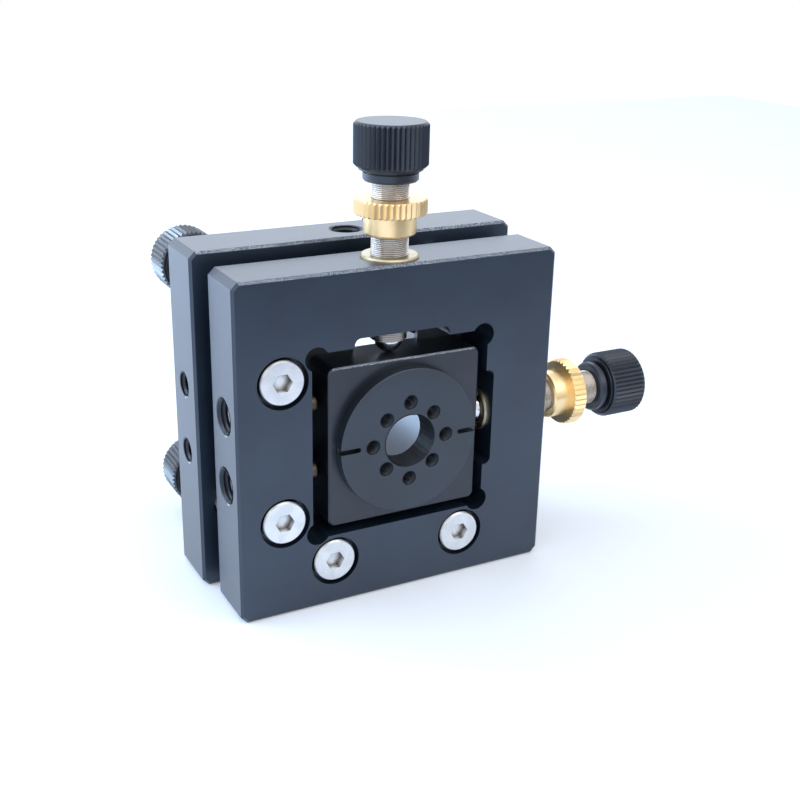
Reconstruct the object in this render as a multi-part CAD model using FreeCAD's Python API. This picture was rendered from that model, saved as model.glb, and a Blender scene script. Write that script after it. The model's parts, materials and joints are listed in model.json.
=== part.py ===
import FreeCAD, Part
import math
import os

# Five-adjuster fibre alignment stage: a fixed rear plate with a post-mounting hole,
# a tilting front plate on three ball-tipped screws, and a spring-loaded carriage
# in its square opening that two more screws push sideways and downwards.
# Millimetres, +Z up. The origin is the mouth of the tapped hole in the middle of
# the rear plate's bottom face, and the front of the stage looks along -Y.

V = FreeCAD.Vector

# The two plates, both standing on z = 0
rear_side = 61.5
rear_thick = 11.4
front_side = 60.0
front_thick = 11.1
plate_gap = 4.1
front_shift = 0.8
corner_bevel = 1.15
edge_break = 0.45
mouth_bevel = 0.3

# Holes in the rear plate
beam_bore_radius = 16.6
post_hole_radius = 2.5
post_hole_depth = 9.0
top_hole_bevel = 0.6
side_hole_radius = 2.1
side_hole_depth = 8.0
side_hole_offset = 6.2
drill_slope = 0.6

# The square opening in the front plate, with milled corner reliefs and two notches
opening_side = 33.4
relief_radius = 2.1
relief_inset = 0.95
notch_width = 18.0
notch_depth = 1.6
notch_corner = 1.2

# The carriage that floats in the opening, and where it stands at rest
carriage_side = 29.0
carriage_setback = 1.0
carriage_block = 7.8
carriage_corner = 1.3
rest_x = 1.2
rest_z = -1.15
travel = 2.0
flange_thick = 1.2
flange_lap = 0.4
tab_half = 7.5
ear_near = 7.0
ear_far = 13.0

# The screwed-in adapter disc with its flange holes and two spanner slots
disc_radius = 13.1
disc_proud = 2.0
disc_thick = 5.3
disc_bore_radius = 4.8
disc_bevel = 0.1
flange_hole_radius = 1.25
inner_circle = 12.73
outer_circle = 14.14
slot_width = 0.9
slot_start = 9.4
slot_depth = 1.5

# The keeper plate behind the carriage and the four flat-headed screws that hold it
keeper_thick = 2.05
keeper_bore_radius = 16.0
keeper_rim = 1.4
thread_wall = 0.7
screw_along = 12.5
screw_wall = 5.05
screw_radius = 2.0
screw_head_radius = 3.95
screw_head_thick = 2.0
screw_sink = 0.1
counterbore_radius = 4.5
head_hex = 3.0
head_hex_depth = 1.3

# The fine adjusters: a brass bushing, a ball-tipped screw, a brass locknut, a knob
bushing_radius = 4.2
bushing_flange_radius = 4.95
bushing_flange_thick = 0.5
bushing_proud = 0.6
adjuster_radius = 3.175
ball_radius = 2.5
ball_hold = 0.3
tip_taper_length = 1.1
tip_taper = 0.6
nut_hub_radius = 4.4
nut_hub_length = 3.4
nut_rim_radius = 6.2
nut_rim_length = 2.6
nut_teeth = 38
nut_knurl = 0.42
knob_collar_radius = 4.65
knob_collar_length = 2.25
knob_ring_radius = 5.35
knob_ring_length = 0.4
knob_neck_radius = 4.3
knob_neck_length = 0.45
knob_head_radius = 6.2
knob_head_length = 7.3
knob_teeth = 44
knob_knurl = 0.36
knob_bore_depth = 6.5
knob_edge = 0.5
tilt_reach_x = 21.4
tilt_reach_z = 21.5
nut_stand = 3.9
x_nut_stand = 2.9
knob_stand = 12.7
x_knob_stand = 13.2

# Hardened seats in the back of the front plate
seat_radius = 2.9
seat_length = 3.0
seat_sink = 0.7
seat_half_angle = 60.0
seat_room = 4.1
pad_radius = 2.6
pad_length = 1.8
pad_offset = 1.6

# Spring plungers that push the carriage back against the two sideways screws
plunger_hole_radius = 3.1
plunger_hole_depth = 10.5
cap_sink = 1.7
cap_length = 3.0
cap_hex = 3.0
cap_hex_depth = 1.6
pin_radius = 1.75
pin_reach = 7.1
pin_head_radius = 2.7
pin_head_length = 1.0
push_spring_radius = 2.4
push_spring_wall = 0.5

# Tension springs that pull the two plates together
pull_hole_radius = 2.2
pull_spring_radius = 1.8
pull_spring_wall = 0.4
pull_edge = 3.2
pull_apart = 6.2
anchor_radius = 1.0
anchor_length = 6.5
anchor_depth = 4.2
anchor_hole_end = 3.0
groove_depth = 2.1

# Clearances
run_fit = 0.04
seat_gap = 0.02
press_gap = 0.01
slide_gap = 0.05
mill_gap = 0.1

# Worked out from the sizes above
rear_half = rear_side / 2
rear_face = rear_thick / 2
rear_front = -rear_thick / 2
front_half = front_side / 2
front_back = rear_front - plate_gap
front_face = front_back - front_thick
front_mid = front_face + front_thick / 2
front_middle_z = front_side / 2
rear_middle_z = rear_side / 2
opening_half = opening_side / 2
carriage_half = carriage_side / 2
carriage_x = front_shift + rest_x
carriage_z = front_middle_z + rest_z
carriage_face = front_face + carriage_setback
flange_front = carriage_face + carriage_block
flange_back = flange_front + flange_thick
flange_reach = opening_half + travel + flange_lap
flange_half = opening_half - mill_gap
pocket_half = flange_half + travel + mill_gap
pocket_reach = flange_reach + travel + mill_gap
pocket_front = flange_front - slide_gap
keeper_front = flange_back + slide_gap
keeper_back = keeper_front + keeper_thick
screw_out = opening_half + screw_wall
keeper_low = -(screw_out + screw_radius + thread_wall)
keeper_high = pocket_reach + keeper_rim
ball_contact = front_back - seat_sink
bushing_bore_radius = adjuster_radius + run_fit
top_of_front = front_side
thread_hole_radius = screw_radius + run_fit / 2
bore_gap_radius = disc_radius + run_fit / 2


def box(x0, x1, y0, y1, z0, z1):
    """A block between two corners."""
    return Part.makeBox(x1 - x0, y1 - y0, z1 - z0, V(x0, y0, z0))


def front_box(u0, u1, y0, y1, v0, v1):
    """A block given from the middle of the front plate."""
    return box(front_shift + u0, front_shift + u1, y0, y1, front_middle_z + v0, front_middle_z + v1)


def rod(start, end, radius):
    """A round rod between two points."""
    along = end - start
    return Part.makeCylinder(radius, along.Length, start, along)


def front_rod(u, v, y0, y1, radius):
    """A rod along Y given from the middle of the front plate."""
    x = front_shift + u
    z = front_middle_z + v
    return rod(V(x, y0, z), V(x, y1, z), radius)


def turned(points):
    """A solid of revolution about Z from its half profile of (radius, height) points."""
    corners = [V(radius, 0, height) for radius, height in points]
    profile = Part.Face(Part.makePolygon(corners + corners[:1]))
    return profile.revolve(V(0, 0, 0), V(0, 0, 1), 360)


def hexagon(across_flats, bottom, top):
    """A hexagonal prism along Z."""
    radius = across_flats / math.sqrt(3)
    corners = []
    for i in range(7):
        turn = math.radians(60 * i)
        corners.append(V(radius * math.cos(turn), radius * math.sin(turn), bottom))
    return Part.Face(Part.makePolygon(corners)).extrude(V(0, 0, top - bottom))


def knurled(radius, depth, teeth, bottom, top, edge):
    """A straight-knurled rim: a toothed prism trimmed by a blank with bevelled edges."""
    corners = []
    for i in range(2 * teeth):
        reach = radius - depth * (i % 2)
        turn = math.pi * i / teeth
        corners.append(V(reach * math.cos(turn), reach * math.sin(turn), bottom))
    prism = Part.Face(Part.makePolygon(corners + corners[:1])).extrude(V(0, 0, top - bottom))
    blank = turned([
        (0, bottom), (radius - edge, bottom), (radius, bottom + edge),
        (radius, top - edge), (radius - edge, top), (0, top),
    ])
    return prism.common(blank)


def placed(shape, origin, outward):
    """A shape made along +Z, moved to its origin with +Z turned outwards."""
    moved = shape.copy()
    moved.Placement = FreeCAD.Placement(origin, FreeCAD.Rotation(V(0, 0, 1), outward))
    return moved


def save(name, shape):
    """Write one named piece."""
    shape.exportStep("parts/" + name + ".step")


def plate_blank(middle_x, middle_z, side, y0, y1):
    """A square plate with bevelled corners and a fine break on both outlines."""
    half = side / 2
    blank = box(middle_x - half, middle_x + half, y0, y1, middle_z - half, middle_z + half)
    corners = [e for e in blank.Edges if abs(e.Vertexes[0].Y - e.Vertexes[1].Y) > (y1 - y0) / 2]
    blank = blank.makeChamfer(corner_bevel, corners)
    outline = [e for e in blank.Edges if abs(e.Vertexes[0].Y - e.Vertexes[1].Y) < (y1 - y0) / 2]
    return blank.makeChamfer(edge_break, outline)


def drilled_hole(origin, outward, radius, depth, bevel=mouth_bevel):
    """The tool for a blind hole with a drill's point, bevelled at its mouth if a bevel is given."""
    point = -depth - drill_slope * radius
    mouth = [(radius, -bevel), (radius + 2 * bevel, bevel), (0, bevel)] if bevel else [(radius, 0), (0, 0)]
    return placed(turned([(0, point), (radius, -depth)] + mouth), origin, outward)


# The adjusters by name: where each stands on its plate, which way it points
# outwards, how far its ball reaches in, and where its nut and knob sit
x_tip = front_half - rest_x - carriage_half - seat_gap
z_tip = front_half - rest_z - carriage_half - seat_gap
rear_tip = rear_face - ball_contact - seat_gap
sideways_bushing = front_half - opening_half - notch_depth + bushing_proud
ADJUSTERS = {
    "pivot": {
        "origin": V(-tilt_reach_x, rear_face, rear_middle_z + tilt_reach_z), "outward": V(0, 1, 0),
        "wall": rear_thick, "tip": rear_tip, "nut": nut_stand, "knob": knob_stand,
    },
    "pitch": {
        "origin": V(-tilt_reach_x, rear_face, rear_middle_z - tilt_reach_z), "outward": V(0, 1, 0),
        "wall": rear_thick, "tip": rear_tip, "nut": nut_stand, "knob": knob_stand,
    },
    "yaw": {
        "origin": V(tilt_reach_x, rear_face, rear_middle_z + tilt_reach_z), "outward": V(0, 1, 0),
        "wall": rear_thick, "tip": rear_tip, "nut": nut_stand, "knob": knob_stand,
    },
    "x": {
        "origin": V(front_shift + front_half, front_mid, front_middle_z), "outward": V(1, 0, 0),
        "wall": sideways_bushing, "tip": x_tip, "nut": x_nut_stand, "knob": x_knob_stand,
    },
    "z": {
        "origin": V(front_shift, front_mid, top_of_front), "outward": V(0, 0, 1),
        "wall": sideways_bushing, "tip": z_tip, "nut": nut_stand, "knob": knob_stand,
    },
}


def adjuster_seat(name):
    """Where an adjuster's ball centre lies at rest."""
    spec = ADJUSTERS[name]
    return spec["origin"] - spec["outward"] * (spec["tip"] - ball_radius)


def bushing(wall):
    """A flanged brass bushing, pressed into the plate from outside."""
    return turned([
        (bushing_bore_radius, -wall), (bushing_radius - mouth_bevel, -wall),
        (bushing_radius - press_gap, mouth_bevel - wall), (bushing_radius - press_gap, 0),
        (bushing_flange_radius, 0), (bushing_flange_radius, bushing_flange_thick / 2),
        (bushing_flange_radius - bushing_flange_thick / 2, bushing_flange_thick),
        (bushing_bore_radius, bushing_flange_thick),
    ])


def adjuster_screw(tip, knob, loose_ball):
    """The fine-thread screw, with a cup for its ball or a pocket for its thrust pad."""
    centre = ball_radius - tip
    end = centre - ball_hold
    if loose_ball:
        end = centre + pad_offset + (pad_length - pad_offset) / 2
    top = knob + knob_bore_depth - run_fit
    body = turned([
        (0, end), (adjuster_radius - tip_taper, end), (adjuster_radius, end + tip_taper_length),
        (adjuster_radius, top - mouth_bevel), (adjuster_radius - mouth_bevel, top), (0, top),
    ])
    if loose_ball:
        pocket_top = centre + pad_offset + pad_length + run_fit
        pocket = Part.makeCylinder(pad_radius + run_fit, pocket_top - end, V(0, 0, end))
        return body.cut(pocket)
    return body.cut(Part.makeSphere(ball_radius + run_fit / 2, V(0, 0, centre)))


def knob(stand):
    """A black knob: a necked collar below a straight-knurled head."""
    head_bottom = stand + knob_collar_length
    head_top = head_bottom + knob_head_length
    ring_bottom = head_bottom - knob_ring_length
    neck_bottom = ring_bottom - knob_neck_length
    collar = turned([
        (0, stand), (knob_collar_radius - mouth_bevel, stand),
        (knob_collar_radius, stand + mouth_bevel), (knob_collar_radius, neck_bottom),
        (knob_neck_radius, neck_bottom), (knob_neck_radius, ring_bottom),
        (knob_ring_radius, ring_bottom), (knob_ring_radius, head_bottom + knob_edge),
        (0, head_bottom + knob_edge),
    ])
    head = knurled(knob_head_radius, knob_knurl, knob_teeth, head_bottom, head_top, knob_edge)
    bore = Part.makeCylinder(adjuster_radius + press_gap, knob_bore_depth, V(0, 0, stand))
    return collar.fuse(head).cut(bore)


def locknut(stand):
    """A brass locknut: a plain hub below a straight-knurled rim."""
    rim_bottom = stand + nut_hub_length
    hub = turned([
        (0, stand), (nut_hub_radius - mouth_bevel, stand),
        (nut_hub_radius, stand + mouth_bevel), (nut_hub_radius, rim_bottom + mouth_bevel),
        (0, rim_bottom + mouth_bevel),
    ])
    rim_top = rim_bottom + nut_rim_length
    rim = knurled(nut_rim_radius, nut_knurl, nut_teeth, rim_bottom, rim_top, mouth_bevel)
    bore = Part.makeCylinder(bushing_bore_radius, rim_top - stand, V(0, 0, stand))
    return hub.fuse(rim).cut(bore)


def make_adjusters():
    """Every adjuster's bushing, screw, locknut, knob and ball."""
    for name, spec in ADJUSTERS.items():
        origin = spec["origin"]
        outward = spec["outward"]
        loose_ball = name == "pivot"
        save(name + "_bushing", placed(bushing(spec["wall"]), origin, outward))
        screw = adjuster_screw(spec["tip"], spec["knob"], loose_ball)
        save(name + "_screw", placed(screw, origin, outward))
        save(name + "_locknut", placed(locknut(spec["nut"]), origin, outward))
        save(name + "_knob", placed(knob(spec["knob"]), origin, outward))
        save(name + "_ball", Part.makeSphere(ball_radius, adjuster_seat(name)))


def cone_cup(centre, direction):
    """The tool for a conical cup that a ball sits in, opening along the direction."""
    half_angle = math.radians(seat_half_angle)
    apex = -(ball_radius + seat_gap) / math.sin(half_angle)
    tool = turned([(0, apex), (-apex * math.tan(half_angle), 0), (0, 0)])
    return placed(tool, centre, direction)


def make_pivot_pad():
    """The thrust pad in the end of the pivot screw, cupped for the loose pivot ball."""
    centre = adjuster_seat("pivot")
    start = centre + V(0, pad_offset, 0)
    blank = rod(start, start + V(0, pad_length, 0), pad_radius)
    save("pivot_pad", blank.cut(cone_cup(centre, V(0, -1, 0))))


def seat_blank(name, back):
    """A round hardened insert in the back of the front plate."""
    centre = adjuster_seat(name)
    start = V(centre.x, front_back - seat_length, centre.z)
    return rod(start, V(centre.x, back, centre.z), seat_radius - press_gap)


def make_seats():
    """Cone, vee and flat seats, which hold the front plate in one place only."""
    save("pivot_seat", seat_blank("pivot", front_back).cut(cone_cup(adjuster_seat("pivot"), V(0, 1, 0))))
    centre = adjuster_seat("pitch")
    half_angle = math.radians(seat_half_angle)
    depth = (ball_radius + seat_gap) / math.sin(half_angle)
    half_width = depth * math.tan(half_angle)
    corners = [V(-half_width, 0, 0), V(0, -depth, 0), V(half_width, 0, 0), V(-half_width, 0, 0)]
    vee = Part.Face(Part.makePolygon(corners)).extrude(V(0, 0, 2 * seat_radius))
    vee.translate(centre - V(0, 0, seat_radius))
    save("pitch_seat", seat_blank("pitch", front_back).cut(vee))
    save("yaw_seat", seat_blank("yaw", ball_contact))


# The tension springs: each runs along Y between a front and a rear cross pin
PULL_SPRINGS = {
    "upper": {
        "x": tilt_reach_x - pull_apart, "z": front_side - pull_edge,
        "near": "yaw", "entry": V(1, 0, 0),
    },
    "lower": {
        "x": front_shift - front_half + pull_edge, "z": rear_middle_z - tilt_reach_z + pull_apart,
        "near": "pitch", "entry": V(0, 0, -1),
    },
}
front_anchor_y = front_face + anchor_depth
rear_anchor_y = rear_face - groove_depth + anchor_radius


def pull_line(name):
    """The X and Z of a tension spring's axis."""
    return PULL_SPRINGS[name]["x"], PULL_SPRINGS[name]["z"]


def groove_direction(name):
    """Across the line from the nearest bushing, so that the groove stays clear of it."""
    x, z = pull_line(name)
    near = ADJUSTERS[PULL_SPRINGS[name]["near"]]["origin"]
    across = V(near.z - z, 0, x - near.x)
    return across.normalize()


def anchor_pin(middle, direction):
    """A plain cross pin."""
    half = direction * (anchor_length / 2)
    return rod(middle - half, middle + half, anchor_radius)


def make_pull_springs():
    """Both tension springs with their four anchor pins."""
    for name, spec in PULL_SPRINGS.items():
        x, z = pull_line(name)
        save(name + "_front_anchor", anchor_pin(V(x, front_anchor_y, z), spec["entry"]))
        save(name + "_rear_anchor", anchor_pin(V(x, rear_anchor_y, z), groove_direction(name)))
        start = V(x, front_anchor_y + anchor_radius + seat_gap, z)
        end = V(x, rear_anchor_y - anchor_radius - seat_gap, z)
        coil = rod(start, end, pull_spring_radius)
        save(name + "_pull_spring", coil.cut(rod(start, end, pull_spring_radius - pull_spring_wall)))


# The spring plungers: two in the left edge push along +X, two in the bottom along +Z
left_reach = front_half + rest_x - carriage_half - seat_gap
bottom_reach = front_half + rest_z - carriage_half - seat_gap
PLUNGERS = {
    "left_upper": {
        "origin": V(front_shift - front_half, front_mid, front_middle_z + side_hole_offset),
        "outward": V(-1, 0, 0), "reach": left_reach,
    },
    "left_lower": {
        "origin": V(front_shift - front_half, front_mid, front_middle_z - side_hole_offset),
        "outward": V(-1, 0, 0), "reach": left_reach,
    },
    "bottom_left": {
        "origin": V(front_shift - side_hole_offset, front_mid, 0),
        "outward": V(0, 0, -1), "reach": bottom_reach,
    },
    "bottom_right": {
        "origin": V(front_shift + side_hole_offset, front_mid, 0),
        "outward": V(0, 0, -1), "reach": bottom_reach,
    },
}


def plunger_cap():
    """The socket set screw that closes a plunger's hole."""
    radius = plunger_hole_radius - press_gap
    top = -cap_sink
    bottom = top - cap_length
    blank = turned([
        (0, bottom), (radius - mouth_bevel, bottom), (radius, bottom + mouth_bevel),
        (radius, top - mouth_bevel), (radius - mouth_bevel, top), (0, top),
    ])
    return blank.cut(hexagon(cap_hex, top - cap_hex_depth, top))


def plunger_pin(reach):
    """The headed pin whose round nose rests on the carriage."""
    tip = -reach
    shoulder = tip + pin_reach
    bead = pin_radius / 2
    shaft = turned([
        (0, tip), (bead, tip), (pin_radius, tip + bead), (pin_radius, shoulder),
        (pin_head_radius, shoulder), (pin_head_radius, shoulder + pin_head_length),
        (0, shoulder + pin_head_length),
    ])
    return shaft


def push_spring(reach):
    """The compression spring between a plunger's cap and the head of its pin."""
    bottom = pin_reach + pin_head_length - reach + seat_gap
    top = -cap_sink - cap_length - seat_gap
    outside = Part.makeCylinder(push_spring_radius, top - bottom, V(0, 0, bottom))
    inside = Part.makeCylinder(push_spring_radius - push_spring_wall, top - bottom, V(0, 0, bottom))
    return outside.cut(inside)


def make_plungers():
    """Cap, spring and pin of each plunger."""
    for name, spec in PLUNGERS.items():
        origin = spec["origin"]
        outward = spec["outward"]
        save(name + "_cap", placed(plunger_cap(), origin, outward))
        save(name + "_spring", placed(push_spring(spec["reach"]), origin, outward))
        save(name + "_pin", placed(plunger_pin(spec["reach"]), origin, outward))


def make_rear_plate():
    """The fixed plate: beam bore, post holes, side holes, bushing and spring holes."""
    middle = V(0, 0, rear_middle_z)
    blank = plate_blank(0, rear_middle_z, rear_side, rear_front, rear_face)
    tools = []
    bore = turned([
        (0, rear_front - edge_break), (beam_bore_radius + 2 * edge_break, rear_front - edge_break),
        (beam_bore_radius, rear_front + edge_break), (beam_bore_radius, rear_face - edge_break),
        (beam_bore_radius + 2 * edge_break, rear_face + edge_break), (0, rear_face + edge_break),
    ])
    tools.append(placed(bore, middle, V(0, 1, 0)))
    tools.append(drilled_hole(V(0, 0, 0), V(0, 0, -1), post_hole_radius, post_hole_depth, 0))
    top = V(0, 0, rear_side)
    tools.append(drilled_hole(top, V(0, 0, 1), post_hole_radius, post_hole_depth, top_hole_bevel))
    for side in (-1, 1):
        for level in (-side_hole_offset, side_hole_offset):
            mouth = V(side * rear_half, 0, rear_middle_z + level)
            tools.append(drilled_hole(mouth, V(side, 0, 0), side_hole_radius, side_hole_depth))
    for name in ("pivot", "pitch", "yaw"):
        origin = ADJUSTERS[name]["origin"]
        tools.append(rod(V(origin.x, rear_front, origin.z), origin, bushing_radius))
    for name in PULL_SPRINGS:
        x, z = pull_line(name)
        tools.append(rod(V(x, rear_front, z), V(x, rear_face, z), pull_hole_radius))
        direction = groove_direction(name)
        groove = box(
            -anchor_length / 2 - mill_gap, anchor_length / 2 + mill_gap,
            -groove_depth, 0, -anchor_radius - mill_gap, anchor_radius + mill_gap,
        )
        groove.Placement = FreeCAD.Placement(
            V(x, rear_face, z), FreeCAD.Rotation(V(1, 0, 0), direction)
        )
        tools.append(groove)
    save("rear_plate", blank.cut(tools))


def notch_tool():
    """The rounded notch milled into the opening's wall where a bushing ends."""
    half = notch_width / 2
    tool = front_box(-half, half, front_face, front_back, 0, opening_half + notch_depth)
    top = front_middle_z + opening_half + notch_depth
    ends = [
        e for e in tool.Edges
        if abs(e.Vertexes[0].Y - e.Vertexes[1].Y) > 1 and e.Vertexes[0].Z > top - 1
    ]
    return tool.makeFillet(notch_corner, ends)


def keeper_outline(gap, y0, y1):
    """The keeper's block with its corners cut back to clear the three seats."""
    low = keeper_low - gap
    high = keeper_high + gap
    blank = front_box(low, high, y0, y1, low, high)
    pivot = adjuster_seat("pivot")
    yaw = adjuster_seat("yaw")
    left = pivot.x - front_shift + seat_room - gap
    right = yaw.x - front_shift - seat_room + gap
    top = pivot.z - front_middle_z - seat_room + gap
    pitch = adjuster_seat("pitch")
    low_u = min(left, -(flange_half + 2 * mill_gap) - gap)
    low_v = min(pitch.z - front_middle_z + seat_room - gap, -(flange_half + 2 * mill_gap) - gap)
    cuts = [
        front_box(low, left, y0, y1, top, high),
        front_box(right, high, y0, y1, top, high),
        front_box(low, low_u, y0, y1, low, low_v),
    ]
    return blank.cut(cuts)


KEEPER_SCREWS = (
    (-screw_out, screw_along), (-screw_out, -screw_along),
    (-screw_along, -screw_out), (screw_along, -screw_out),
)


def flange_pocket():
    """Room behind the opening's lip for the carriage's flange over its whole travel."""
    arm = tab_half + travel + mill_gap
    near = ear_near - travel - mill_gap
    far = ear_far + travel + mill_gap
    edge = opening_half - mill_gap
    y0 = pocket_front
    y1 = front_back
    pieces = [
        front_box(-pocket_half, pocket_half, y0, y1, -pocket_half, pocket_half),
        front_box(-pocket_reach, -edge, y0, y1, -arm, arm),
        front_box(-arm, arm, y0, y1, -pocket_reach, -edge),
    ]
    for side in (-1, 1):
        a, b = sorted((side * near, side * far))
        pieces.append(front_box(a, b, y0, y1, edge, pocket_reach))
        pieces.append(front_box(edge, pocket_reach, y0, y1, a, b))
    return pieces


def make_front_plate():
    """The tilting plate with its opening, pockets and every hole."""
    blank = plate_blank(front_shift, front_middle_z, front_side, front_face, front_back)
    tools = [front_box(-opening_half, opening_half, front_face, front_back, -opening_half, opening_half)]
    corner = opening_half - relief_inset
    for u in (-corner, corner):
        for v in (-corner, corner):
            tools.append(front_rod(u, v, front_face, front_back, relief_radius))
    notch = notch_tool()
    tools.append(notch)
    tools.append(notch.copy().rotate(V(front_shift, 0, front_middle_z), V(0, 1, 0), 90))
    tools.extend(flange_pocket())
    tools.append(keeper_outline(mill_gap, keeper_front, front_back))
    for u, v in KEEPER_SCREWS:
        depth = screw_sink + screw_head_thick
        tools.append(front_rod(u, v, front_face, front_face + depth, counterbore_radius))
        tools.append(front_rod(u, v, front_face, front_back, screw_radius + mill_gap))
    for name in ("x", "z"):
        spec = ADJUSTERS[name]
        inner = spec["origin"] - spec["outward"] * (front_half - opening_half)
        tools.append(rod(inner, spec["origin"], bushing_radius))
    for spec in PLUNGERS.values():
        origin = spec["origin"]
        outward = spec["outward"]
        tools.append(drilled_hole(origin, outward, plunger_hole_radius, plunger_hole_depth))
        tools.append(rod(origin - outward * (front_half - opening_half), origin, pin_radius + run_fit))
    for name in ("pivot", "pitch", "yaw"):
        centre = adjuster_seat(name)
        start = V(centre.x, front_back - seat_length, centre.z)
        tools.append(rod(start, V(centre.x, front_back, centre.z), seat_radius))
    for name, spec in PULL_SPRINGS.items():
        x, z = pull_line(name)
        tools.append(rod(V(x, front_face + anchor_hole_end, z), V(x, front_back, z), pull_hole_radius))
        middle = V(x, front_anchor_y, z)
        inner = middle - spec["entry"] * (anchor_length / 2)
        tools.append(rod(inner, middle + spec["entry"] * front_side, anchor_radius + press_gap))
    save("front_plate", blank.cut(tools))


def make_keeper():
    """The keeper plate and the four flat-headed screws that come in from the front."""
    blank = keeper_outline(0, keeper_front, keeper_back)
    tools = [front_rod(0, 0, keeper_front, keeper_back, keeper_bore_radius)]
    for u, v in KEEPER_SCREWS:
        tools.append(front_rod(u, v, keeper_front, keeper_back, thread_hole_radius))
    save("keeper_plate", blank.cut(tools))
    head_top = -screw_sink
    head_bottom = head_top - screw_head_thick
    tail = front_face - keeper_back
    profile = turned([
        (0, tail), (screw_radius, tail), (screw_radius, head_bottom), (screw_head_radius, head_bottom),
        (screw_head_radius, head_top - mouth_bevel), (screw_head_radius - mouth_bevel, head_top),
        (0, head_top),
    ])
    screw = profile.cut(hexagon(head_hex, head_top - head_hex_depth, head_top))
    for number, (u, v) in enumerate(KEEPER_SCREWS, 1):
        origin = V(front_shift + u, front_face, front_middle_z + v)
        save("keeper_screw_%d" % number, placed(screw, origin, V(0, -1, 0)))


def carriage_box(u0, u1, y0, y1, v0, v1):
    """A block given from the middle of the carriage."""
    return box(carriage_x + u0, carriage_x + u1, y0, y1, carriage_z + v0, carriage_z + v1)


def rounded_square(half, y0, y1):
    """A square block on the carriage's middle with its corners rounded."""
    block = carriage_box(-half, half, y0, y1, -half, half)
    corners = [e for e in block.Edges if abs(e.Vertexes[0].Y - e.Vertexes[1].Y) > (y1 - y0) / 2]
    return block.makeFillet(carriage_corner, corners)


def make_carriage():
    """The square carriage: a rounded block with a flange behind the lip, cut away at both bushings."""
    block = rounded_square(carriage_half, carriage_face, flange_back)
    rim = [e for e in block.Edges if max(v.Y for v in e.Vertexes) < carriage_face + mill_gap]
    block = block.makeChamfer(mouth_bevel, rim)
    inner = flange_half - carriage_corner
    tabs = [
        rounded_square(flange_half, flange_front, flange_back),
        carriage_box(-flange_reach, -inner, flange_front, flange_back, -tab_half, tab_half),
        carriage_box(-tab_half, tab_half, flange_front, flange_back, -flange_reach, -inner),
    ]
    for side in (-1, 1):
        a, b = sorted((side * ear_near, side * ear_far))
        tabs.append(carriage_box(a, b, flange_front, flange_back, inner, flange_reach))
        tabs.append(carriage_box(inner, flange_reach, flange_front, flange_back, a, b))
    start = V(carriage_x, carriage_face, carriage_z)
    bore = rod(start, V(carriage_x, flange_back, carriage_z), bore_gap_radius)
    room = bushing_radius + travel + mill_gap
    out = flange_half + mill_gap
    tools = [
        bore,
        carriage_box(carriage_half, out, flange_front, flange_back, -room, room),
        carriage_box(-room, room, flange_front, flange_back, carriage_half, out),
    ]
    save("carriage", block.fuse(tabs).cut(tools).removeSplitter())


def make_adapter_disc():
    """The round adapter: a bore, two circles of tapped holes and two spanner slots."""
    top = disc_proud - carriage_setback
    bottom = top - disc_thick
    blank = turned([
        (disc_bore_radius, bottom), (disc_radius - mouth_bevel, bottom),
        (disc_radius, bottom + mouth_bevel), (disc_radius, top - disc_bevel),
        (disc_radius - disc_bevel, top), (disc_bore_radius + disc_bevel, top),
        (disc_bore_radius, top - disc_bevel),
    ])
    tools = []
    for i in range(8):
        circle = inner_circle if i % 2 else outer_circle
        turn = math.radians(45 * i)
        x = circle / 2 * math.cos(turn)
        y = circle / 2 * math.sin(turn)
        hole = drilled_hole(V(x, y, top), V(0, 0, 1), flange_hole_radius, disc_thick, disc_bevel)
        tools.append(hole)
    for side in (-1, 1):
        a, b = sorted((side * (slot_start + slot_width / 2), side * (disc_radius + 1)))
        slot = box(a, b, -slot_width / 2, slot_width / 2, top - slot_depth, top)
        tools.append(slot)
        end = V(side * (slot_start + slot_width / 2), 0, top)
        tools.append(rod(end, end - V(0, 0, slot_depth), slot_width / 2))
    disc = blank.cut(tools)
    save("adapter_disc", placed(disc, V(carriage_x, front_face, carriage_z), V(0, -1, 0)))


os.makedirs("parts", exist_ok=True)
make_rear_plate()
make_front_plate()
make_keeper()
make_carriage()
make_adapter_disc()
make_adjusters()
make_pivot_pad()
make_seats()
make_pull_springs()
make_plungers()
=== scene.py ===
import bmesh
import bpy
import json
import math
from mathutils import Matrix, Vector


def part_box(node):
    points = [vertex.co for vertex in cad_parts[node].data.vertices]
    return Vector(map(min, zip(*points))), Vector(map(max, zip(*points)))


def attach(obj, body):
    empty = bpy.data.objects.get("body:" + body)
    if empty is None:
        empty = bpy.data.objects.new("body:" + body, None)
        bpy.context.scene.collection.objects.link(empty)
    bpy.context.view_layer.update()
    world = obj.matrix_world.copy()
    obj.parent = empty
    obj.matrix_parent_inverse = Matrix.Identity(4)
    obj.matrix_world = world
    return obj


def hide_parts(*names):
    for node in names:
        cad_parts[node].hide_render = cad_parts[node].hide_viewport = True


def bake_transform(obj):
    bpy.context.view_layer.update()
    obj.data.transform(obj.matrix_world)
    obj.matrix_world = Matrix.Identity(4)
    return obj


# Looks of a five-adjuster fibre alignment stage: black anodised plates, brass
# bushings and locknuts, steel fine-thread screws, and coil springs.
# Metres. The origin is the mouth of the rear plate's post hole and the front looks along -Y.

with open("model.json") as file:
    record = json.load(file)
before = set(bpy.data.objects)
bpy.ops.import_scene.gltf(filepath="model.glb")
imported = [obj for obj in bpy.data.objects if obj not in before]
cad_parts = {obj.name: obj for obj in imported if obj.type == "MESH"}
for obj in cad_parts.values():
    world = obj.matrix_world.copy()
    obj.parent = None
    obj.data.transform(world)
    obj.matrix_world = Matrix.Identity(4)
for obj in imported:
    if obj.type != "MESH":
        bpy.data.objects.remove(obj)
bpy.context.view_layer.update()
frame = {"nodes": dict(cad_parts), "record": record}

MM = 0.001

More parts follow.
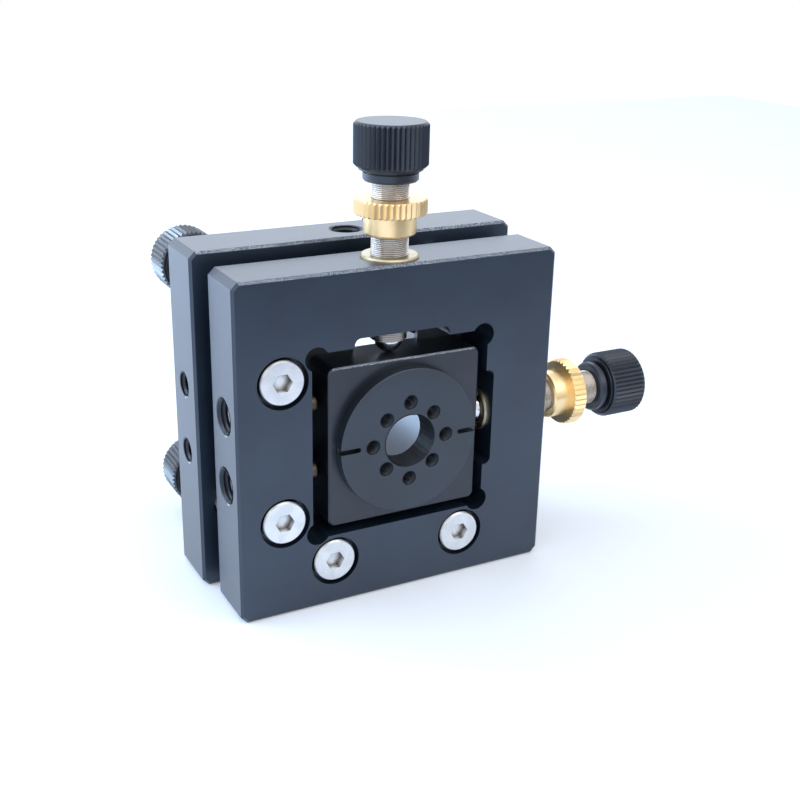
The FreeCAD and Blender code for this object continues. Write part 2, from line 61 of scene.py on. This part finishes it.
# The fine thread of the adjusters: quarter inch, eighty turns to the inch
FINE_PITCH = 0.3175 * MM
FINE_RADIUS = 3.175 * MM
FINE_DEPTH = 0.2 * MM
FINE_STEPS = 32
CREST_START = 0.42
CREST_END = 0.52

# Coil springs: wire thickness, pitch and turns, and the room left for the plate's tilt
PULL_WIRE = 0.4 * MM
PULL_PITCH = 0.46 * MM
PUSH_WIRE = 0.5 * MM
PUSH_TURNS = 5
PULL_ROOM = 1.5 * MM
WIRE_SIDES = 8
COIL_STEPS = 20

# Threads in the tapped holes, whose mouths are countersunk, and tool lines in the adapter's bore
TAPPED_PITCH = 0.8 * MM
TAPPED_DEPTH = 0.32 * MM
COUNTERSINK = 0.5 * MM
FLANGE_PITCH = 0.5 * MM
FLANGE_DEPTH = 0.2 * MM
BORE_PITCH = 0.3 * MM
BORE_DEPTH = 0.06 * MM
RIDGE_START = 0.45
RIDGE_FULL = 0.9
LINER_WALL = 0.03 * MM
LINER_STEPS = 32
SET_SCREW_RISE = 0.9 * MM
SET_SCREW_BEVEL = 0.35 * MM
SET_SCREW_STEPS = 24
SOCKET_SHARE = 0.45

# Points closer than this are one point
MERGE_GAP = 0.0005 * MM


def linear(hex_colour):
    """A hex colour as linear red, green, blue and alpha."""
    values = []
    for i in (1, 3, 5):
        part = int(hex_colour[i:i + 2], 16) / 255
        values.append(part / 12.92 if part <= 0.04045 else ((part + 0.055) / 1.055) ** 2.4)
    return (*values, 1.0)


def add(tree, kind, inputs, **settings):
    """Add one node, with its settings, and its inputs as values or as links."""
    node = tree.nodes.new(kind)
    for name, value in settings.items():
        setattr(node, name, value)
    for socket, value in inputs.items():
        if isinstance(value, bpy.types.NodeSocket):
            tree.links.new(value, node.inputs[socket])
        else:
            node.inputs[socket].default_value = value
    return node


def new_material(name):
    """An empty material: its tree, its main shader and its Object coordinates."""
    material = bpy.data.materials.new(name)
    material.use_nodes = True
    tree = material.node_tree
    tree.nodes.clear()
    shader = add(tree, "ShaderNodeBsdfPrincipled", {})
    add(tree, "ShaderNodeOutputMaterial", {"Surface": shader.outputs[0]})
    place = add(tree, "ShaderNodeTexCoord", {}).outputs["Object"]
    return material, tree, shader, place


def noise(tree, place, size_mm, detail=2.0):
    """A noise whose features are this many millimetres across."""
    values = {"Vector": place, "Scale": 1 / (size_mm * MM), "Detail": detail}
    return add(tree, "ShaderNodeTexNoise", values).outputs["Fac"]


def spread(tree, value, low, high, out_low, out_high):
    """A value stretched from one range to another."""
    values = {"Value": value, "From Min": low, "From Max": high, "To Min": out_low, "To Max": out_high}
    return add(tree, "ShaderNodeMapRange", values).outputs["Result"]


def mixed(tree, share, colour_a, colour_b):
    """Two colours mixed by a share."""
    node = add(tree, "ShaderNodeMix", {0: share}, data_type="RGBA")
    for socket, colour in ((6, colour_a), (7, colour_b)):
        if isinstance(colour, bpy.types.NodeSocket):
            tree.links.new(colour, node.inputs[socket])
        else:
            node.inputs[socket].default_value = linear(colour)
    return node.outputs[2]


def softened(tree, shader, height, strength, distance_mm, edge_mm=0.0):
    """A bump, laid over edges that are rounded by a hair's breadth."""
    values = {"Height": height, "Strength": strength, "Distance": distance_mm * MM}
    if edge_mm:
        rounded = add(tree, "ShaderNodeBevel", {"Radius": edge_mm * MM}, samples=4)
        values["Normal"] = rounded.outputs[0]
    bump = add(tree, "ShaderNodeBump", values)
    tree.links.new(bump.outputs[0], shader.inputs["Normal"])


def product(tree, first, second):
    """Two values multiplied."""
    return add(tree, "ShaderNodeMath", {0: first, 1: second}, operation="MULTIPLY").outputs[0]


def upper_front_edge(tree, place, from_mm):
    """1 on the bevels that face up and forwards, from a height on, and 0 elsewhere."""
    normal = add(tree, "ShaderNodeTexCoord", {}).outputs["Normal"]
    bevel = {0: normal, 1: (0, -0.707, 0.707)}
    facing = add(tree, "ShaderNodeVectorMath", bevel, operation="DOT_PRODUCT")
    height = add(tree, "ShaderNodeSeparateXYZ", {0: place}).outputs[2]
    high = spread(tree, height, from_mm * MM, (from_mm + 0.2) * MM, 0.0, 1.0)
    return product(tree, spread(tree, facing.outputs["Value"], 0.9, 0.97, 0.0, 1.0), high)


def open_sky(tree, reach_mm, low, high):
    """1 on open surfaces and 0 in recesses narrower than the reach."""
    node = add(tree, "ShaderNodeAmbientOcclusion", {"Distance": reach_mm * MM}, samples=6)
    return spread(tree, node.outputs["AO"], low, high, 0.0, 1.0)


# Black anodised finish: the share of bare metal that shows, its clear oxide, and the colour of the
# painted glint on its upper front edges
METAL_SHARE = 0.65
OXIDE_ROUGHNESS = 0.32
OXIDE_IOR = 1.6
EDGE_GLINT_COLOUR = "#97a2b2"


def black_anodised(name, base, light, roughness, glint_from_mm=0.0, coat=0.7, recess_shade=""):
    """Black anodised aluminium, vapour blasted first: a slate sheen, matt up close.

    The clear oxide over the dye is a coat that grows bright at a glancing angle. Lighter specks
    are painted on the upper front bevels as a painted glint where the light catches them.
    Painted shade darkens narrow grooves with a darker colour.
    """
    material, tree, shader, place = new_material(name)
    cloud = spread(tree, noise(tree, place, 9.0), 0.3, 0.7, 0.0, 1.0)
    grain = noise(tree, place, 0.16, 3.0)
    colour = mixed(tree, cloud, base, light)
    # Painted glint: lighter specks on the bevels that face up and forwards, where the light catches them
    if glint_from_mm:
        sparks = spread(tree, noise(tree, place, 0.13, 0.0), 0.5, 0.6, 0.0, 1.0)
        glint = product(tree, sparks, upper_front_edge(tree, place, glint_from_mm))
        colour = mixed(tree, glint, colour, EDGE_GLINT_COLOUR)
    # Painted shade: a darker colour in grooves narrower than the reach, where less light gets in
    if recess_shade:
        colour = mixed(tree, open_sky(tree, 0.5, 0.5, 0.95), recess_shade, colour)
    tree.links.new(colour, shader.inputs["Base Color"])
    shader.inputs["Metallic"].default_value = METAL_SHARE
    shader.inputs["Coat Weight"].default_value = coat
    shader.inputs["Coat Roughness"].default_value = OXIDE_ROUGHNESS
    shader.inputs["Coat IOR"].default_value = OXIDE_IOR
    matt = spread(tree, grain, 0.3, 0.7, roughness - 0.04, roughness + 0.05)
    tree.links.new(matt, shader.inputs["Roughness"])
    softened(tree, shader, grain, 0.22, 0.02, 0.12)
    return material


def turned_metal(name, base, dark, roughness, line_mm, strength, hollow_shade="", reach_mm=1.0, metal=1.0):
    """A turned or drawn metal: fine tool lines, uneven tone and painted shade in its recesses."""
    material, tree, shader, place = new_material(name)
    cloud = spread(tree, noise(tree, place, 3.0), 0.35, 0.65, 0.0, 1.0)
    lines = noise(tree, place, line_mm, 3.0)
    colour = mixed(tree, cloud, base, dark)
    # Painted shade: a darker colour in recesses narrower than the reach, where less light gets in
    if hollow_shade:
        colour = mixed(tree, open_sky(tree, reach_mm, 0.4, 0.95), hollow_shade, colour)
    tree.links.new(colour, shader.inputs["Base Color"])
    shader.inputs["Metallic"].default_value = metal
    matt = spread(tree, lines, 0.3, 0.7, roughness - 0.05, roughness + 0.07)
    tree.links.new(matt, shader.inputs["Roughness"])
    softened(tree, shader, lines, strength, 0.01, 0.06)
    return material


# The plate and the carriage get a painted glint on their upper front edges, above 58 mm and 42.5 mm
plate_black = black_anodised("black_anodised_plate", "#1b2b40", "#223448", 0.42, 58.0)
carriage_black = black_anodised("black_anodised_carriage", "#141e2b", "#1b2635", 0.42, 42.5)
disc_black = black_anodised("black_anodised_disc", "#1a2634", "#212e3e", 0.4)
# The knob gets painted shade in its knurl grooves
knob_black = black_anodised("black_anodised_knob", "#212c3c", "#293546", 0.42, coat=0.5, recess_shade="#020304")
thread_black = black_anodised("black_anodised_thread", "#1b222c", "#252e3b", 0.5, coat=0.3)
brass = turned_metal("turned_brass", "#fae0b0", "#efd29f", 0.33, 0.2, 0.1)
bushing_brass = turned_metal("pale_bushing_brass", "#c6bda3", "#b6ac91", 0.34, 0.2, 0.1)
# The stainless screws get painted shade in their hex sockets, and the thread steel in its thread grooves
stainless = turned_metal("stainless_screw", "#e3e5e8", "#d2d5d9", 0.3, 0.12, 0.15, "#7d7a78", 1.2)
thread_steel = turned_metal("rolled_thread_steel", "#efedec", "#e0dcda", 0.3, 0.15, 0.03, "#9c9592", 0.25)
bearing_steel = turned_metal("polished_bearing_steel", "#e2e2e4", "#d6d6d8", 0.12, 0.3, 0.02)
spring_wire = turned_metal("music_wire", "#a7a8ab", "#8c8d90", 0.32, 0.1, 0.1)
pin_steel = turned_metal("ground_pin_steel", "#6a6056", "#544c44", 0.34, 0.12, 0.12)
set_screw_steel = turned_metal("set_screw_stainless", "#f4f6f8", "#e6e9ec", 0.6, 0.12, 0.12, metal=0.3)

FINISHES = {
    "plate_black": plate_black, "carriage_black": carriage_black, "disc_black": disc_black,
    "knob_black": knob_black, "brass": brass, "screw_steel": stainless,
    "bearing_steel": bearing_steel, "spring_steel": spring_wire, "pin_steel": pin_steel,
    "cap_steel": set_screw_steel,
}
slot_of = {row["node"]: row["material_slot"] for row in frame["record"]["subparts"]}
for node_name, node in frame["nodes"].items():
    node.data.materials.clear()
    finish = bushing_brass if node_name.endswith("_bushing") else FINISHES[slot_of[node_name]]
    node.data.materials.append(finish)


def finished(name, shape, turn, origin, material, body, replaced=(), bend=()):
    """Turn a bmesh made along +Z into a named piece that rides on its body, or, given a bend, is left
    fixed in the world.
    """
    bmesh.ops.remove_doubles(shape, verts=shape.verts, dist=MERGE_GAP)
    bmesh.ops.recalc_face_normals(shape, faces=shape.faces)
    place = Matrix.Translation(origin) @ turn.to_matrix().to_4x4()
    bmesh.ops.transform(shape, matrix=place, verts=shape.verts)
    mesh = bpy.data.meshes.new(name)
    shape.to_mesh(mesh)
    shape.free()
    piece = bpy.data.objects.new(name, mesh)
    bpy.context.scene.collection.objects.link(piece)
    piece.data.materials.append(material)
    if bend:
        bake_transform(piece)
    else:
        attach(piece, body)
    if replaced:
        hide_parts(*replaced)


def along(outward):
    """The turn that takes +Z to a direction."""
    return Vector((0, 0, 1)).rotation_difference(Vector(outward))


def open_line(shape, points):
    """A line of (radius, height) points in the XZ plane, ready to be spun about Z."""
    verts = [shape.verts.new((radius, 0, height)) for radius, height in points]
    for first, second in zip(verts, verts[1:]):
        shape.edges.new((first, second))
    return shape.verts[:] + shape.edges[:]


def spun(shape, geometry, turns, steps, rise):
    """Spin a line about Z, rising evenly along the axis."""
    return bmesh.ops.spin(
        shape, geom=geometry, cent=(0, 0, 0), axis=(0, 0, 1), dvec=(0, 0, rise / steps),
        angle=2 * math.pi * turns, steps=steps, use_merge=False,
    )


def helical_thread(shape, radius, depth, pitch, low, high, steps):
    """A threaded rod's skin: a zigzag line spun once round while it rises by one pitch."""
    points = []
    turns = int((high - low) / pitch) - 1
    for i in range(turns):
        base = low + i * pitch
        points.append((radius - depth, base))
        points.append((radius, base + pitch * CREST_START))
        points.append((radius, base + pitch * CREST_END))
    points.append((radius - depth, low + turns * pitch))
    spun(shape, open_line(shape, points), 1, steps, pitch)
    bmesh.ops.remove_doubles(shape, verts=shape.verts, dist=MERGE_GAP)
    bmesh.ops.holes_fill(shape, edges=[e for e in shape.edges if e.is_boundary], sides=0)


# Each adjuster, and which way its screw points out of its plate
ADJUSTERS = {
    "pivot": (0, 1, 0), "pitch": (0, 1, 0), "yaw": (0, 1, 0), "x": (1, 0, 0), "z": (0, 0, 1),
}


def span(node_name, outward):
    """A node's middle, and its lowest and highest place along a direction."""
    low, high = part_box(node_name)
    middle = (low + high) / 2
    axis = Vector(outward)
    return middle, low.dot(axis), high.dot(axis)


def make_screws():
    """Fine-thread screws in place of the plain ones, from the ball's cup to inside the knob."""
    for name, outward in ADJUSTERS.items():
        middle, low, high = span(name + "_screw", outward)
        axis = Vector(outward)
        origin = middle - axis * (middle.dot(axis) - low)
        shape = bmesh.new()
        helical_thread(shape, FINE_RADIUS, FINE_DEPTH, FINE_PITCH, 0.0, high - low, FINE_STEPS)
        finished(name + "_threaded_screw", shape, along(outward), origin, thread_steel,
                 name + "_screw", (name + "_screw",))


def wire_ring(shape, coil_radius, wire_radius, height, sides):
    """A small circle of wire beside the axis, ready to be spun into a coil."""
    made = bmesh.ops.create_circle(shape, cap_ends=False, radius=wire_radius, segments=sides)
    place = Matrix.Translation((coil_radius, 0, height)) @ Matrix.Rotation(math.pi / 2, 4, "X")
    bmesh.ops.transform(shape, matrix=place, verts=made["verts"])
    edges = {e for v in made["verts"] for e in v.link_edges}
    return made["verts"] + list(edges)


def coil(shape, coil_radius, wire_radius, low, high, turns):
    """A helical coil of round wire with both wire ends capped."""
    ring = wire_ring(shape, coil_radius, wire_radius, low + wire_radius, WIRE_SIDES)
    steps = int(turns * COIL_STEPS)
    spun(shape, ring, turns, steps, high - low - 2 * wire_radius)
    bmesh.ops.remove_doubles(shape, verts=shape.verts, dist=MERGE_GAP)
    bmesh.ops.holes_fill(shape, edges=[e for e in shape.edges if e.is_boundary], sides=0)


# Each spring: which way it lies, the body at its foot, and the body that it pushes
SPRINGS = {
    "upper_pull_spring": ((0, 1, 0), "rear", ""), "lower_pull_spring": ((0, 1, 0), "rear", ""),
    "left_upper_spring": ((1, 0, 0), "front", "x_slide"),
    "left_lower_spring": ((1, 0, 0), "front", "x_slide"),
    "bottom_left_spring": ((0, 0, 1), "front", "z_pins"),
    "bottom_right_spring": ((0, 0, 1), "front", "z_pins"),
}


def make_springs():
    """Wound springs in place of the plain sleeves."""
    for name, (outward, body, pushed) in SPRINGS.items():
        middle, low, high = span(name, outward)
        if not pushed:
            low += PULL_ROOM
        axis = Vector(outward)
        origin = middle - axis * (middle.dot(axis) - low)
        box_low, box_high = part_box(name)
        sizes = sorted(box_high - box_low)
        outside = sizes[0] / 2 if "pull" in name else sizes[1] / 2
        wire = PULL_WIRE if "pull" in name else PUSH_WIRE
        length = high - low
        turns = length / PULL_PITCH if "pull" in name else PUSH_TURNS
        shape = bmesh.new()
        coil(shape, outside - wire / 2, wire / 2, 0.0, length, turns)
        bend = (pushed, origin, origin + axis * length) if pushed else ()
        finished(name.replace("_spring", "_coil"), shape, along(outward), origin, spring_wire,
                 body, (name,), bend)


def thread_liner(shape, radius, depth, pitch, length, steps, countersink=0.0):
    """The thread inside a tapped hole, from its mouth at Z 0 downwards, with ridges inwards."""
    wall = radius - LINER_WALL
    top = -countersink
    turns = int((length - countersink) / pitch)
    points = [(wall, 0.0)]
    if countersink:
        points.append((wall - depth, top))
    for i in range(turns):
        base = top - i * pitch
        points.append((wall, base - pitch * RIDGE_START))
        points.append((wall - depth, base - pitch * RIDGE_FULL))
        points.append((wall - depth, base - pitch))
    spun(shape, open_line(shape, points), 1, steps, 0.0)
    bmesh.ops.remove_doubles(shape, verts=shape.verts, dist=MERGE_GAP)
    bmesh.ops.recalc_face_normals(shape, faces=shape.faces)
    bmesh.ops.solidify(shape, geom=shape.faces[:], thickness=LINER_WALL / 2)


def make_liner(name, mouth, axis, body, sizes, length, countersink=0.0):
    """One hole's thread, placed at its mouth."""
    radius, depth, pitch = sizes
    shape = bmesh.new()
    thread_liner(shape, radius, depth, pitch, length, LINER_STEPS, countersink)
    finished(name, shape, along(axis), mouth, thread_black, body)


def make_rear_liners():
    """Threads in the rear plate's tapped holes, worked out from the record's mounts."""
    low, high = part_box("rear_plate")
    for mount in frame["record"]["mounts"]:
        if mount["kind"] != "threaded_hole":
            continue
        axis = Vector(mount["axis"])
        edge = 0.0 if axis.z < 0 else max(abs(low.dot(axis)), abs(high.dot(axis)))
        mouth = Vector(mount["pos_m"])
        mouth = mouth - axis * mouth.dot(axis) + axis * edge
        sizes = (mount["dims"]["r_mm"] * MM, TAPPED_DEPTH, TAPPED_PITCH)
        length = mount["dims"]["length_mm"] * MM
        make_liner(mount["name"] + "_thread", mouth, axis, "rear", sizes, length)


# The set screws that close the spring plungers: which way each one faces
CAPS = {
    "left_upper": (-1, 0, 0), "left_lower": (-1, 0, 0),
    "bottom_left": (0, 0, -1), "bottom_right": (0, 0, -1),
}


def make_set_screws():
    """Each plunger hole's countersunk thread, and a set screw that reaches nearer to its mouth."""
    plate_low, plate_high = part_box("front_plate")
    for name, outward in CAPS.items():
        node = name + "_cap"
        axis = Vector(outward)
        middle, low, high = span(node, outward)
        edge = max(plate_low.dot(axis), plate_high.dot(axis))
        centre = middle - axis * middle.dot(axis)
        radius = sorted(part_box(node)[1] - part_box(node)[0])[1] / 2
        sizes = (radius, TAPPED_DEPTH, TAPPED_PITCH)
        make_liner(name + "_hole_thread", centre + axis * edge, axis, "front",
                   sizes, edge - high, COUNTERSINK)
        top = high - low + SET_SCREW_RISE
        face = radius - TAPPED_DEPTH - LINER_WALL
        socket = face * SOCKET_SHARE
        shape = bmesh.new()
        points = [(0, 0), (face, 0), (face, top - SET_SCREW_BEVEL), (face - SET_SCREW_BEVEL, top),
                  (socket, top), (socket, top / 2), (0, top / 2)]
        spun(shape, open_line(shape, points), 1, SET_SCREW_STEPS, 0.0)
        finished(name + "_set_screw", shape, along(outward), centre + axis * low, set_screw_steel,
                 "front", (node,))


def make_disc_liners():
    """Threads in the adapter disc's eight holes, and tool lines in its bore."""
    low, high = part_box("adapter_disc")
    bore = next(m for m in frame["record"]["mounts"] if m["kind"] == "bore")
    axis = Vector(bore["axis"])
    centre = Vector(bore["pos_m"])
    centre.y = low.y
    length = high.y - low.y
    make_liner("adapter_bore_lines", centre, axis, "carriage",
               (bore["dims"]["r_mm"] * MM, BORE_DEPTH, BORE_PITCH), length)
    for mount in frame["record"]["mounts"]:
        if mount["kind"] != "bolt_pattern":
            continue
        start = math.radians(45) if "inner" in mount["name"] else 0.0
        for i in range(mount["dims"]["count"]):
            turn = start + i * 2 * math.pi / mount["dims"]["count"]
            out = mount["dims"]["pcd_mm"] / 2 * MM
            place = centre + Vector((out * math.cos(turn), 0, out * math.sin(turn)))
            sizes = (mount["dims"]["hole_r_mm"] * MM, FLANGE_DEPTH, FLANGE_PITCH)
            make_liner("%s_thread_%d" % (mount["name"], i + 1), place, axis, "carriage",
                       sizes, length)


make_screws()
make_springs()
make_rear_liners()
make_set_screws()
make_disc_liners()


# The camera stands where the photograph was taken from, front left and a little above
CAMERA_PLACE = Vector((-88.4, -185.9, 108.7)) * MM
CAMERA_TURN = math.radians(-28.28)
CAMERA_HEIGHT = math.radians(21.13)
CAMERA_ROLL = math.radians(1.18)
SENSOR_MM = 36.0
FOCAL_PIXELS = 1181.3
IMAGE_PIXELS = 800


def make_camera():
    """A camera with no shift, aimed by its turn, height and roll."""
    back = Vector((
        math.sin(CAMERA_TURN) * math.cos(CAMERA_HEIGHT),
        -math.cos(CAMERA_TURN) * math.cos(CAMERA_HEIGHT),
        math.sin(CAMERA_HEIGHT),
    ))
    level = Vector((0, 0, 1)).cross(back).normalized()
    upright = back.cross(level)
    right = math.cos(CAMERA_ROLL) * level + math.sin(CAMERA_ROLL) * upright
    up = -math.sin(CAMERA_ROLL) * level + math.cos(CAMERA_ROLL) * upright
    data = bpy.data.cameras.new("camera")
    data.sensor_width = SENSOR_MM
    data.lens = FOCAL_PIXELS * SENSOR_MM / IMAGE_PIXELS
    data.clip_start = 1 * MM
    camera = bpy.data.objects.new("camera", data)
    camera.matrix_world = Matrix((
        (right.x, up.x, back.x, CAMERA_PLACE.x), (right.y, up.y, back.y, CAMERA_PLACE.y),
        (right.z, up.z, back.z, CAMERA_PLACE.z), (0, 0, 0, 1),
    ))
    bpy.context.scene.collection.objects.link(camera)
    bpy.context.scene.camera = camera


TARGET = Vector((0, -10, 35)) * MM

# Each lamp: its place, its size, its brightness and its colour. Places and sizes are in metres.
LAMPS = {
    "back_left": ((-0.5, 0.75, 0.14), (0.7, 0.26), 8.0, "#c8e4ff"),
    "back_right": ((0.45, 0.8, 0.42), (0.8, 0.4), 1.35, "#d2e6ff"),
    "left_floor": ((-0.5, 0.22, 0.4), (0.5, 0.5), 4.2, "#cfe6ff"),
    "overhead": ((-0.1, -0.1, 0.9), (0.8, 0.7), 1.2, "#f4f8ff"),
    "front_left": ((-0.8, -0.7, 0.6), (0.5, 0.6), 0.8, "#ffffff"),
    "front_right": ((0.25, -0.47, 0.5), (0.5, 0.5), 1.6, "#ffffff"),
}

# The white room: how bright it is on the stage, where white as seen is 1
ROOM_LIGHT = 0.5

# The paper, which reaches further forwards on the left, and the dark bench around it
PAPER_SIDE = 0.6
PAPER_BACK = 0.55
PAPER_EDGE = -0.165
PAPER_NOTCH = -0.04
PAPER_FRONT = -0.4
PAPER_GLOW = 0.2
BENCH_SIDE = 1.2
BENCH_FRONT = -1.4


def softbox(name, place, size, radiance, colour):
    """A large soft lamp aimed at the stage."""
    data = bpy.data.lights.new(name, "AREA")
    data.shape = "RECTANGLE"
    data.size, data.size_y = size
    data.energy = radiance * math.pi * size[0] * size[1]
    data.color = linear(colour)[:3]
    lamp = bpy.data.objects.new(name, data)
    lamp.location = place
    lamp.rotation_euler = (Vector(place) - TARGET).to_track_quat("Z", "Y").to_euler()
    lamp.visible_camera = False
    bpy.context.scene.collection.objects.link(lamp)


def seen_directly(tree):
    """1 where the camera, a shiny face or glass sees a surface, and 0 for its light on others."""
    path = add(tree, "ShaderNodeLightPath", {})
    seen = path.outputs["Is Camera Ray"]
    for ray in ("Is Glossy Ray", "Is Transmission Ray"):
        either = {0: seen, 1: path.outputs[ray]}
        seen = add(tree, "ShaderNodeMath", either, operation="MAXIMUM").outputs[0]
    return seen


def make_light():
    """Soft lamps around and above the stage, and a white room."""
    for name, (place, size, radiance, colour) in LAMPS.items():
        softbox(name, place, size, radiance, colour)
    world = bpy.data.worlds.new("white_room")
    world.use_nodes = True
    tree = world.node_tree
    tree.nodes.clear()
    strength = spread(tree, seen_directly(tree), 0.0, 1.0, ROOM_LIGHT, 1.0)
    shine = add(tree, "ShaderNodeBackground", {"Color": (1, 1, 1, 1), "Strength": strength})
    add(tree, "ShaderNodeOutputWorld", {"Surface": shine.outputs[0]})
    bpy.context.scene.world = world


def stage_sheet(name, low, high, material):
    """A level sheet between two corners, which belongs to the studio and not to the stage."""
    shape = bmesh.new()
    corners = ((low[0], low[1]), (high[0], low[1]), (high[0], high[1]), (low[0], high[1]))
    shape.faces.new([shape.verts.new((x, y, 0)) for x, y in corners])
    mesh = bpy.data.meshes.new(name)
    shape.to_mesh(mesh)
    shape.free()
    sheet = bpy.data.objects.new(name, mesh)
    bpy.context.scene.collection.objects.link(sheet)
    mesh.materials.append(material)


def make_floor():
    """A white paper that keeps the stage's shadow, and the dark bench in front of it."""
    paper, tree, shader, _ = new_material("white_paper")
    shader.inputs["Base Color"].default_value = linear("#e9f2ff")
    shader.inputs["Roughness"].default_value = 0.6
    shader.inputs["Specular IOR Level"].default_value = 0.2
    strength = spread(tree, seen_directly(tree), 0.0, 1.0, 0.0, PAPER_GLOW)
    shader.inputs["Emission Color"].default_value = linear("#ffffff")
    tree.links.new(strength, shader.inputs["Emission Strength"])
    stage_sheet("floor", (-PAPER_SIDE, PAPER_EDGE), (PAPER_SIDE, PAPER_BACK), paper)
    bench, tree, shader, _ = new_material("dark_bench")
    shader.inputs["Base Color"].default_value = linear("#454b55")
    shader.inputs["Roughness"].default_value = 0.7
    stage_sheet("floor_left", (-PAPER_SIDE, PAPER_FRONT), (PAPER_NOTCH, PAPER_EDGE), paper)
    stage_sheet("bench", (PAPER_NOTCH, BENCH_FRONT), (BENCH_SIDE, PAPER_EDGE), bench)


make_camera()
make_light()
make_floor()

scene = bpy.context.scene
scene.view_settings.view_transform = "Standard"
